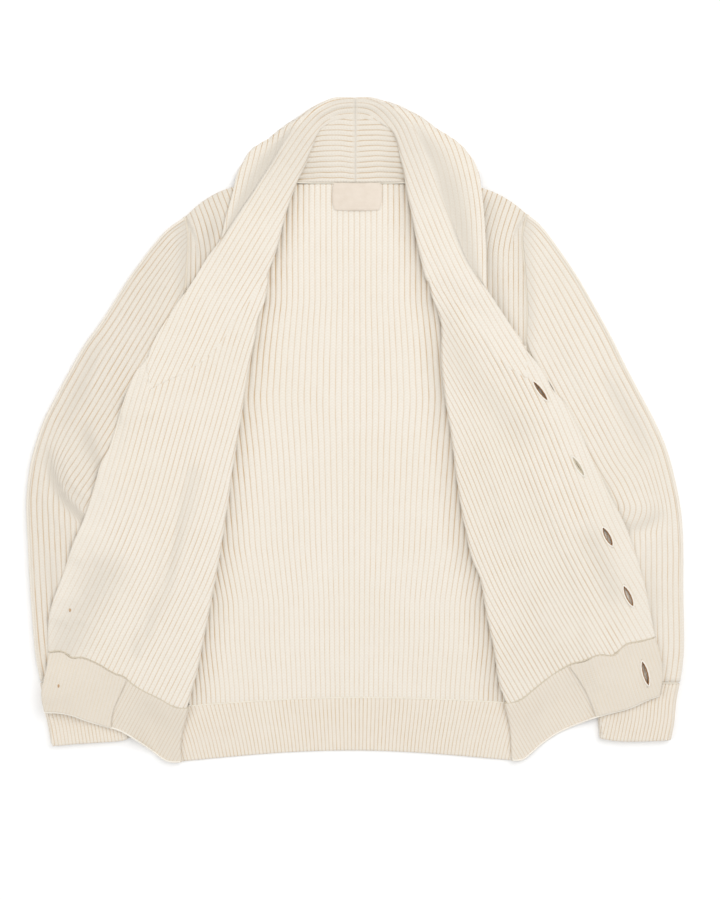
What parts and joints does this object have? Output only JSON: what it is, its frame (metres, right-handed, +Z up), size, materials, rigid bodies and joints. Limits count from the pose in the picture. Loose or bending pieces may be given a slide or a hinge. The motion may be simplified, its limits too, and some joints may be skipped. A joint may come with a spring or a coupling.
{
  "type": "shawl collar cardigan",
  "caption": "Heavy ribbed shawl collar cardigan lying open on its back, both fronts turned outwards over flat sleeves, with ribbed hem and cuffs.",
  "frame": {"origin": "centre of the bounding box, on the surface the garment lies on", "axes": "+Y towards the neck, +X to the viewer's right, +Z up from the surface"},
  "size_m": [0.7857, 0.798, 0.0209],
  "materials": {
    "wool_rib": "undyed wool, heavy full-cardigan rib",
    "wool_ribbing": "undyed wool, finer ribbing",
    "label_satin": "ivory woven satin, bare",
    "button_horn": "polished horn-like resin"
  },
  "bodies": {
    "root": {"back": "wool_rib", "back_hem": "wool_ribbing", "front_left": "wool_rib", "front_right": "wool_rib", "front_hem_left": "wool_ribbing", "front_hem_right": "wool_ribbing", "hem_facing_left": "wool_ribbing", "hem_facing_right": "wool_ribbing", "collar_left": "wool_rib", "collar_right": "wool_rib", "sleeve_left": "wool_rib", "sleeve_right": "wool_rib", "cuff_left": "wool_ribbing", "cuff_right": "wool_ribbing", "neck_label": "label_satin", "button_1": "button_horn", "button_2": "button_horn", "button_3": "button_horn", "button_4": "button_horn", "button_5": "button_horn"}
  },
  "joints": []
}
